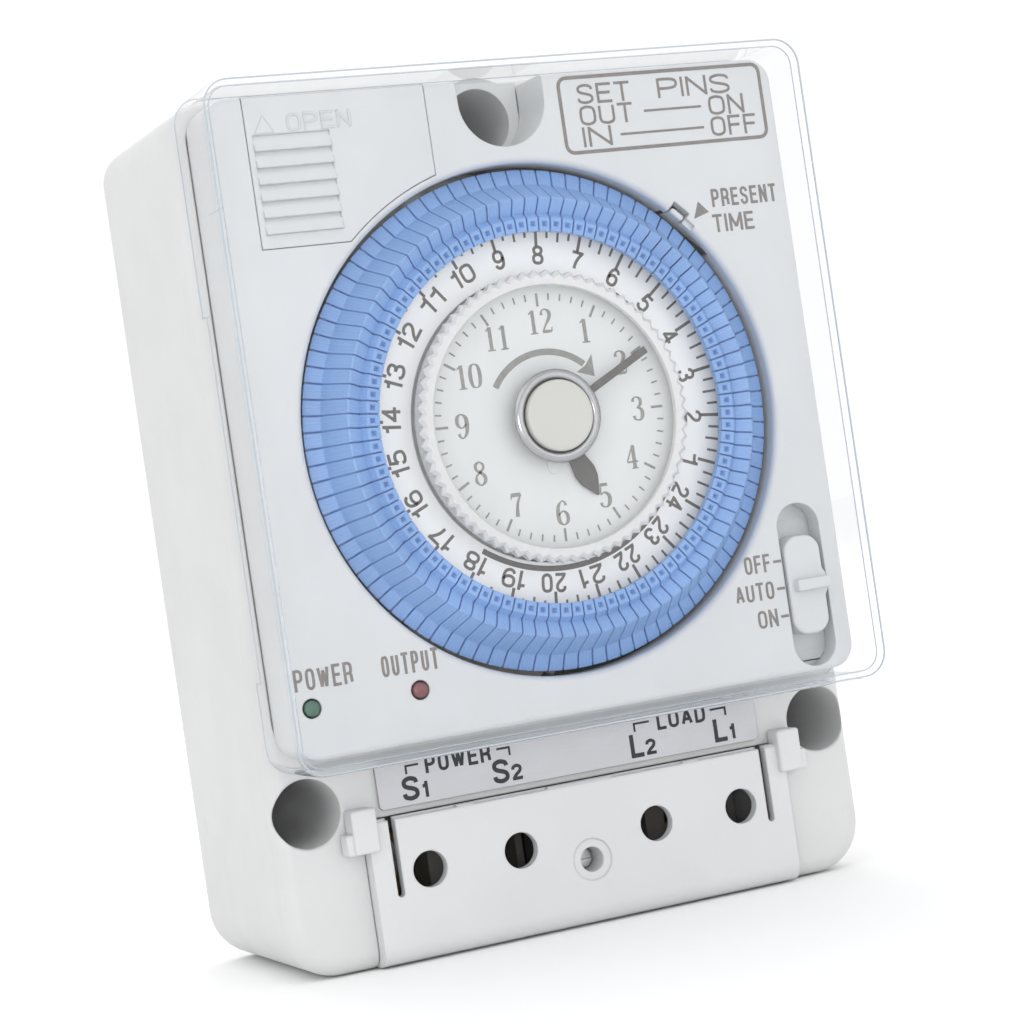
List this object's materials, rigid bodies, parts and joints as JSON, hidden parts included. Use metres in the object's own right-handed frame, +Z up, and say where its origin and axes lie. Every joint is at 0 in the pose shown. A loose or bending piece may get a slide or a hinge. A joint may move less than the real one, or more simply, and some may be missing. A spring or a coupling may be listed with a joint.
{
  "type": "programmable timer",
  "caption": "Wall-mounted mechanical time switch: white case, rotating set-pin dial with a clock face under a hinged clear cover, slide switch, and screw terminals behind a flap.",
  "frame": {"origin": "centre of the back face, on the wall plane", "axes": "+X right seen from the front, +Y into the wall, +Z up the wall"},
  "size_m": [0.104, 0.0607, 0.1392],
  "materials": {
    "case_white": "satin moulded white",
    "panel_white": "satin moulded white",
    "clear_plastic": "clear polished plastic",
    "pin_blue": "satin blue",
    "disc_white": "matt white with grey print",
    "print_grey": "dark grey",
    "label_silver": "silver-grey printed film",
    "steel": "zinc plated",
    "brass": "plain",
    "black_plastic": "moulded",
    "hub_beige": "satin beige",
    "hub_chrome": "polished",
    "lamp_green": "tinted lens",
    "lamp_red": "tinted lens",
    "board_green": "laminate",
    "tan_plastic": "moulded",
    "gear_white": "natural acetal",
    "battery_wrap": "shrink sleeve"
  },
  "bodies": {
    "housing": {"rear_case": "case_white", "front_panel": "panel_white", "clock_face": "disc_white", "terminal_label": "label_silver", "dial_shaft": "steel", "lever_pivot": "steel", "lever_spring": "steel", "movement_plate": "steel", "motor": "steel", "case_screw_1": "steel", "case_screw_2": "steel", "case_screw_3": "steel", "case_screw_4": "steel", "terminal_clamp_1": "brass", "terminal_clamp_2": "brass", "terminal_clamp_3": "brass", "terminal_clamp_4": "brass", "terminal_lead_1": "brass", "terminal_lead_2": "brass", "terminal_lead_3": "brass", "terminal_lead_4": "brass", "battery_contact_plus": "brass", "battery_contact_minus": "brass", "terminal_block": "black_plastic", "mode_switch_body": "black_plastic", "load_switch_body": "black_plastic", "green_indicator": "lamp_green", "red_indicator": "lamp_red", "circuit_board": "board_green", "supply_capacitor": "tan_plastic", "backup_battery": "battery_wrap"},
    "cover": {"clear_cover": "clear_plastic"},
    "lid": {"battery_lid": "panel_white"},
    "terminal_lid": {"terminal_cover": "case_white"},
    "terminal_lid_screw": {"terminal_cover_screw": "steel"},
    "dial": {"hour_disc": "disc_white", "trip_pin_ring": "pin_blue"},
    "hour_pointer": {"hour_hand": "print_grey"},
    "setting": {"setting_disc": "clear_plastic", "minute_hand": "print_grey", "hub_ring": "hub_chrome", "hub_cap": "hub_beige"},
    "slider": {"mode_slider": "panel_white"},
    "lever": {"trip_lever": "panel_white"},
    "plunger": {"load_switch_plunger": "tan_plastic"},
    "wheel": {"reduction_wheel": "gear_white"},
    "pinion": {"motor_pinion": "brass"},
    "wire_screw_1": {"terminal_screw_1": "steel"},
    "set_pin_1": {"trip_pin_1": "pin_blue"},
    "wire_screw_2": {"terminal_screw_2": "steel"},
    "set_pin_2": {"trip_pin_2": "pin_blue"},
    "wire_screw_3": {"terminal_screw_3": "steel"},
    "set_pin_3": {"trip_pin_3": "pin_blue"},
    "wire_screw_4": {"terminal_screw_4": "steel"},
    "set_pin_4": {"trip_pin_4": "pin_blue"}
  },
  "joints": [
    {"name": "cover_hinge", "type": "hinge", "parent": "housing", "child": "cover", "pos_m": [0, -0.0445, 0.06915], "axis": [-1, 0, 0], "range_deg": [0, 110]},
    {"name": "lid_slide", "type": "slide", "parent": "housing", "child": "lid", "axis": [0, 0, 1], "range_m": [0, 0.001]},
    {"name": "terminal_cover_hinge", "type": "hinge", "parent": "housing", "child": "terminal_lid", "pos_m": [0, -0.0442, -0.0443], "axis": [-1, 0, 0], "range_deg": [0, 90]},
    {"name": "cover_screw_turn", "type": "hinge", "parent": "terminal_lid", "child": "terminal_lid_screw", "pos_m": [0, -0.04, -0.0589], "axis": [0, 1, 0], "continuous": true},
    {"name": "dial_spin", "type": "hinge", "parent": "housing", "child": "dial", "pos_m": [0, -0.05, 0.0127], "axis": [0, 1, 0], "continuous": true},
    {"name": "hour_hand_spin", "type": "hinge", "parent": "housing", "child": "hour_pointer", "pos_m": [0, -0.055, 0.0127], "axis": [0, 1, 0], "continuous": true},
    {"name": "setting_disc_spin", "type": "hinge", "parent": "housing", "child": "setting", "pos_m": [0, -0.057, 0.0127], "axis": [0, 1, 0], "continuous": true},
    {"name": "wheel_spin", "type": "hinge", "parent": "housing", "child": "wheel", "pos_m": [-0.01108, -0.045, -0.01775], "axis": [0, 1, 0], "continuous": true},
    {"name": "pinion_spin", "type": "hinge", "parent": "housing", "child": "pinion", "pos_m": [-0.00263, -0.042, -0.00185], "axis": [0, 1, 0], "continuous": true},
    {"name": "mode_slide", "type": "slide", "parent": "housing", "child": "slider", "axis": [0, 0, 1], "range_m": [-0.0044, 0.0044]},
    {"name": "trip_lever_turn", "type": "hinge", "parent": "housing", "child": "lever", "pos_m": [0.039, -0.05, 0.0384], "axis": [0, 1, 0], "range_deg": [0, 2.5], "stiffness_Nm_per_rad": 0.02},
    {"name": "switch_plunger_press", "type": "slide", "parent": "housing", "child": "plunger", "axis": [1, 0, 0], "range_m": [0, 0.00053]},
    {"name": "wire_screw_1_turn", "type": "hinge", "parent": "housing", "child": "wire_screw_1", "pos_m": [-0.028, -0.02, -0.0552], "axis": [0, 1, 0], "continuous": true},
    {"name": "wire_screw_2_turn", "type": "hinge", "parent": "housing", "child": "wire_screw_2", "pos_m": [-0.0122, -0.02, -0.0552], "axis": [0, 1, 0], "continuous": true},
    {"name": "wire_screw_3_turn", "type": "hinge", "parent": "housing", "child": "wire_screw_3", "pos_m": [0.0122, -0.02, -0.0552], "axis": [0, 1, 0], "continuous": true},
    {"name": "wire_screw_4_turn", "type": "hinge", "parent": "housing", "child": "wire_screw_4", "pos_m": [0.028, -0.02, -0.0552], "axis": [0, 1, 0], "continuous": true},
    {"name": "set_pin_1_slide", "type": "slide", "parent": "dial", "child": "set_pin_1", "axis": [0.6344, 0, 0.773], "range_m": [0, 0.0007]},
    {"name": "set_pin_2_slide", "type": "slide", "parent": "dial", "child": "set_pin_2", "axis": [0.6836, 0, 0.7299], "range_m": [0, 0.0007]},
    {"name": "set_pin_3_slide", "type": "slide", "parent": "dial", "child": "set_pin_3", "axis": [0.7299, 0, 0.6836], "range_m": [0, 0.0007]},
    {"name": "set_pin_4_slide", "type": "slide", "parent": "dial", "child": "set_pin_4", "axis": [0.773, 0, 0.6344], "range_m": [0, 0.0007]}
  ],
  "couplings": [
    {"joint": "dial_spin", "follows": "setting_disc_spin", "ratio": 0.041667},
    {"joint": "hour_hand_spin", "follows": "setting_disc_spin", "ratio": 0.083333},
    {"joint": "wheel_spin", "follows": "setting_disc_spin", "ratio": -0.33333},
    {"joint": "pinion_spin", "follows": "setting_disc_spin", "ratio": 1.3333},
    {"joint": "switch_plunger_press", "follows": "trip_lever_turn", "m_per_rad": 0.012}
  ]
}
